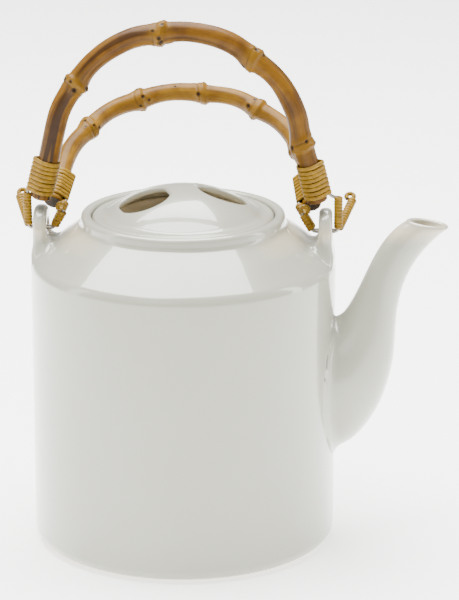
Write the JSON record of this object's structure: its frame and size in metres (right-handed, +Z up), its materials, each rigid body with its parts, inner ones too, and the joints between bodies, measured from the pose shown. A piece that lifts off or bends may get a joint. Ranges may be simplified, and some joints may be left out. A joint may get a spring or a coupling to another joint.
{
  "type": "teapot with infuser",
  "caption": "Cylindrical porcelain teapot with a curved spout, a recessed lid with two finger openings, a lift-out infuser and two cane bail handles hooked to side lugs.",
  "frame": {"origin": "centre of the foot ring on the table", "axes": "+Z up along the pot's axis, +X towards the spout, so the lugs stand on -X and +X and -Y is the front"},
  "size_m": [0.2147, 0.1614, 0.2631],
  "materials": {
    "porcelain": "clear glossy glaze",
    "stainless": "satin",
    "cane_dark": "scorched and lacquered bamboo root",
    "cane_light": "lacquered bamboo root",
    "rattan": "dyed split rattan, semi-matt",
    "hook_wire": "drawn wire, dull"
  },
  "bodies": {
    "pot": {"pot_body": "porcelain", "spout": "porcelain", "lug_left": "porcelain", "lug_right": "porcelain"},
    "infuser": {"infuser_rim": "stainless", "infuser_wall": "stainless", "infuser_floor": "stainless"},
    "lid": {"lid": "porcelain", "lid_well": "porcelain"},
    "front_bail": {"front_cane": "cane_dark", "front_left_binding": "rattan", "front_left_hook": "hook_wire", "front_left_wrap": "rattan", "front_right_binding": "rattan", "front_right_hook": "hook_wire", "front_right_wrap": "rattan"},
    "rear_bail": {"rear_cane": "cane_light", "rear_left_binding": "rattan", "rear_left_hook": "hook_wire", "rear_left_wrap": "rattan", "rear_right_binding": "rattan", "rear_right_hook": "hook_wire", "rear_right_wrap": "rattan"}
  },
  "joints": [
    {"name": "front_bail_swing", "type": "hinge", "parent": "pot", "child": "front_bail", "pos_m": [0, -0.0016, 0.1575], "axis": [1, 0, 0], "range_deg": [-8, 91]},
    {"name": "rear_bail_swing", "type": "hinge", "parent": "pot", "child": "rear_bail", "pos_m": [0, 0.0016, 0.1575], "axis": [1, 0, 0], "range_deg": [-23, 28]},
    {"name": "infuser_lift", "type": "slide", "parent": "pot", "child": "infuser", "axis": [0, 0, 1], "range_m": [0, 0.028]},
    {"name": "lid_lift", "type": "slide", "parent": "infuser", "child": "lid", "axis": [0, 0, 1], "range_m": [0, 0.032]}
  ]
}
